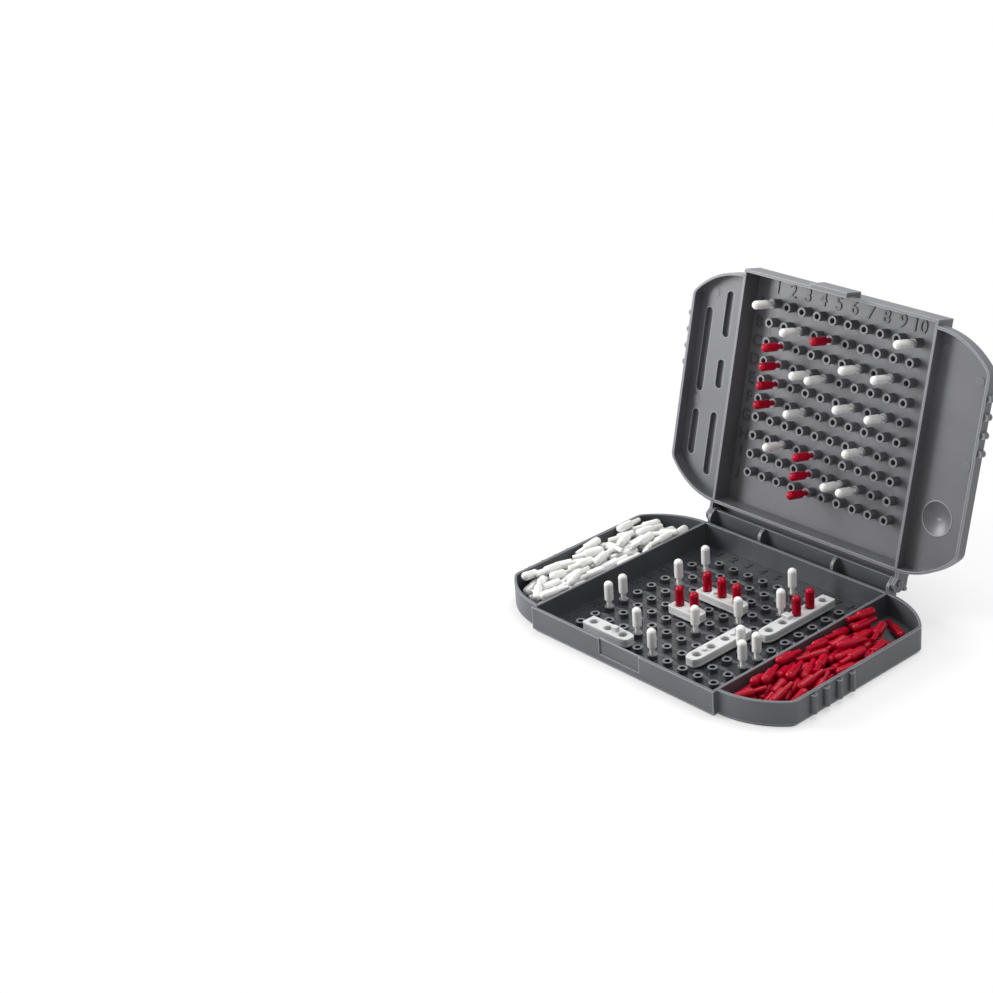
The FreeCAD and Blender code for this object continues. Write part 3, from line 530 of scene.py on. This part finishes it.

# Row letters and column numbers: low relief on the panels of tray and lid, moulded with them
# in ABS, and painted a little darker than their panels, as painted shade for their relief.
TRAY_MARK, LID_LETTER, LID_NUMBER = 4.6, 5.6, 6.3
FONT_SIZE, MARK_DEPTH, MARK_SWELL = 1.4, 0.35, 0.07
TRAY_NUMBER_Y, TRAY_LETTER_X, TRAY_MARK_Z = 50.4, -50.6, 1.4
LID_NUMBER_Y, LID_LETTER_X, LID_MARK_Z = -47.6 - LID_SHIFT, -50.2, LID_FLOOR - 0.55
LID_NUMBER_SHIFT, LID_LETTER_SHIFT = -1.4, 1.9 - LID_SHIFT
MARK_ARRIS = 0.1
# Painted shade: the marks are painted darker than their panels.
tray_mark_shaded_abs = moulded_plastic("tray_mark_shaded_abs", ("#2b2c30", "#333439", "#3a3b40"), roughness=0.35,
                                grain=FINE_GRAIN, arris_mm=MARK_ARRIS)
lid_mark_shaded_abs = moulded_plastic("lid_mark_shaded_abs", ("#44454a", "#4b4c51", "#4b4c51"), SATIN, FINE_GRAIN,
                               MARK_ARRIS)
face_in = Matrix.Rotation(math.pi, 4, "X")


def relief_mark(word, name, height, place, body, material):
    """One raised number or letter, made a mesh and set in its place on a panel."""
    line = bpy.data.curves.new(name + "_line", "FONT")
    line.body = word
    line.size = height * FONT_SIZE * MM
    line.align_x = "CENTER"
    line.align_y = "CENTER"
    line.extrude = MARK_DEPTH * MM
    line.offset = MARK_SWELL * MM
    line.resolution_u = 3
    mesh = mesh_of(line)
    mesh.transform(place)
    mesh.name = name
    return set_piece(name, mesh, body, material)


for column in range(1, SOCKETS + 1):
    x, word = socket_at(column, "A")[0], str(column)
    relief_mark(word, "tray_number_" + word, TRAY_MARK, spot_at(x, TRAY_NUMBER_Y, TRAY_MARK_Z), "tray",
                tray_mark_shaded_abs)
    relief_mark(word, "lid_number_" + word, LID_NUMBER,
                swing @ spot_at(x + LID_NUMBER_SHIFT, LID_NUMBER_Y, LID_MARK_Z) @ face_in, "lid",
                lid_mark_shaded_abs)
for word in ROWS:
    y = socket_at(1, word)[1]
    relief_mark(word, "tray_letter_" + word.lower(), TRAY_MARK, spot_at(TRAY_LETTER_X, y, TRAY_MARK_Z),
                "tray", tray_mark_shaded_abs)
    relief_mark(word, "lid_letter_" + word.lower(), LID_LETTER,
                swing @ spot_at(LID_LETTER_X, LID_LETTER_SHIFT - y, LID_MARK_Z) @ face_in, "lid",
                lid_mark_shaded_abs)

# Studio floor: matt white paper that keeps a faint shadow near the case. Further off it glows,
# so that it runs into the white surround with no edge.
FLOOR_SIZE = 6.0
SHADOW_NEAR, SHADOW_FAR, SHADOW_GLOW = 0.08, 0.22, 0.5


def shown(tree):
    """One for the rays that show the white surround: those of the eye, mirrors and glass."""
    path = add_node(tree, "ShaderNodeLightPath")
    total = path.outputs["Is Camera Ray"]
    for kind in ("Is Glossy Ray", "Is Transmission Ray"):
        both = add_node(tree, "ShaderNodeMath", {"operation": "MAXIMUM"})
        tree.links.new(total, both.inputs[0])
        tree.links.new(path.outputs[kind], both.inputs[1])
        total = both.outputs["Value"]
    return total


floor_mesh = bpy.data.meshes.new("studio_floor")
sweep = bmesh.new()
bmesh.ops.create_grid(sweep, x_segments=1, y_segments=1, size=FLOOR_SIZE)
sweep.to_mesh(floor_mesh)
sweep.free()
floor = bpy.data.objects.new("studio_floor", floor_mesh)
bpy.context.scene.collection.objects.link(floor)
paper = bpy.data.materials.new("white_paper")
paper.use_nodes = True
tree = paper.node_tree
matt = tree.nodes["Principled BSDF"]
matt.inputs["Base Color"].default_value = linear("#f2f2f2")
matt.inputs["Roughness"].default_value = 0.8
matt.inputs["Specular IOR Level"].default_value = 0.1
glow = add_node(tree, "ShaderNodeEmission", {"Strength": 1.0})
spot = add_node(tree, "ShaderNodeTexCoord").outputs["Object"]
reach = add_node(tree, "ShaderNodeVectorMath", {"operation": "LENGTH"}, {"Vector": spot})
far_off = add_node(tree, "ShaderNodeMapRange",
                   {"From Min": SHADOW_NEAR, "From Max": SHADOW_FAR, "To Min": SHADOW_GLOW, "To Max": 1.0},
                   {"Value": reach.outputs["Value"]})
seen = add_node(tree, "ShaderNodeMath", {"operation": "MULTIPLY"})
tree.links.new(far_off.outputs["Result"], seen.inputs[0])
tree.links.new(shown(tree), seen.inputs[1])
mixed = add_node(tree, "ShaderNodeMixShader", links={"Fac": seen.outputs["Value"]})
tree.links.new(matt.outputs["BSDF"], mixed.inputs[1])
tree.links.new(glow.outputs["Emission"], mixed.inputs[2])
tree.links.new(mixed.outputs["Shader"], tree.nodes["Material Output"].inputs["Surface"])
floor_mesh.materials.append(paper)

# Light: an even white surround that lights less than it shows, a soft lamp on the left,
# a big one overhead, and a weak one low on the left for the sheen of the lid.
SURROUND_LIGHT = 0.38
world = bpy.data.worlds.new("studio")
bpy.context.scene.world = world
world.use_nodes = True
tree = world.node_tree
level = add_node(tree, "ShaderNodeMapRange", {"To Min": SURROUND_LIGHT, "To Max": 1.0},
                 {"Value": shown(tree)})
tree.nodes["Background"].inputs["Color"].default_value = (1, 1, 1, 1)
tree.links.new(level.outputs["Result"], tree.nodes["Background"].inputs["Strength"])


def soft_lamp(name, place, aim, size, power):
    """An area lamp at a place, turned to its aim. Lengths are in metres and the power in watts."""
    lamp = bpy.data.lights.new(name, "AREA")
    lamp.shape = "RECTANGLE"
    lamp.size, lamp.size_y = size
    lamp.energy = power
    holder = bpy.data.objects.new(name, lamp)
    bpy.context.scene.collection.objects.link(holder)
    holder.location = place
    holder.rotation_euler = (Vector(aim) - Vector(place)).to_track_quat("-Z", "Y").to_euler()


soft_lamp("key_softbox", place=(-0.8, -0.62, 0.5), aim=(-0.02, 0.03, 0.06), size=(0.5, 0.5), power=10.0)
soft_lamp("top_softbox", place=(0.05, 0.3, 1.0), aim=(0, 0.02, 0.0), size=(0.7, 0.7), power=8.0)
soft_lamp("sheen_strip", place=(-0.62, -0.5, 0.14), aim=(-0.05, 0.08, 0.08), size=(0.25, 0.35), power=1.6)

# Camera: the viewpoint found from the sockets' places in the picture, with no lens shift.
# Angles are in degrees, the place is in metres and the lens in millimetres.
CAMERA_AT = (0.54770, -0.56691, 0.44035)
CAMERA_AZIMUTH, CAMERA_ELEVATION, CAMERA_ROLL = 50.584, 25.242, -4.592
SENSOR_WIDTH, LENS = 36.0, 72.75
camera_data = bpy.data.cameras.new("studio_camera")
camera_data.sensor_width = SENSOR_WIDTH
camera_data.lens = LENS
camera_data.clip_start = 0.01
camera = bpy.data.objects.new("studio_camera", camera_data)
bpy.context.scene.collection.objects.link(camera)
azimuth, elevation, roll = map(math.radians, (CAMERA_AZIMUTH, CAMERA_ELEVATION, CAMERA_ROLL))
ahead = Vector((-math.sin(azimuth) * math.cos(elevation), math.cos(azimuth) * math.cos(elevation),
                -math.sin(elevation)))
level_right = ahead.cross(Vector((0, 0, 1))).normalized()
right = level_right * math.cos(roll) + level_right.cross(ahead) * math.sin(roll)
up = right.cross(ahead)
facing = Matrix((right, up, -ahead)).transposed().to_4x4()
camera.matrix_world = Matrix.Translation(CAMERA_AT) @ facing
bpy.context.scene.camera = camera
bpy.context.scene.view_settings.view_transform = "Standard"
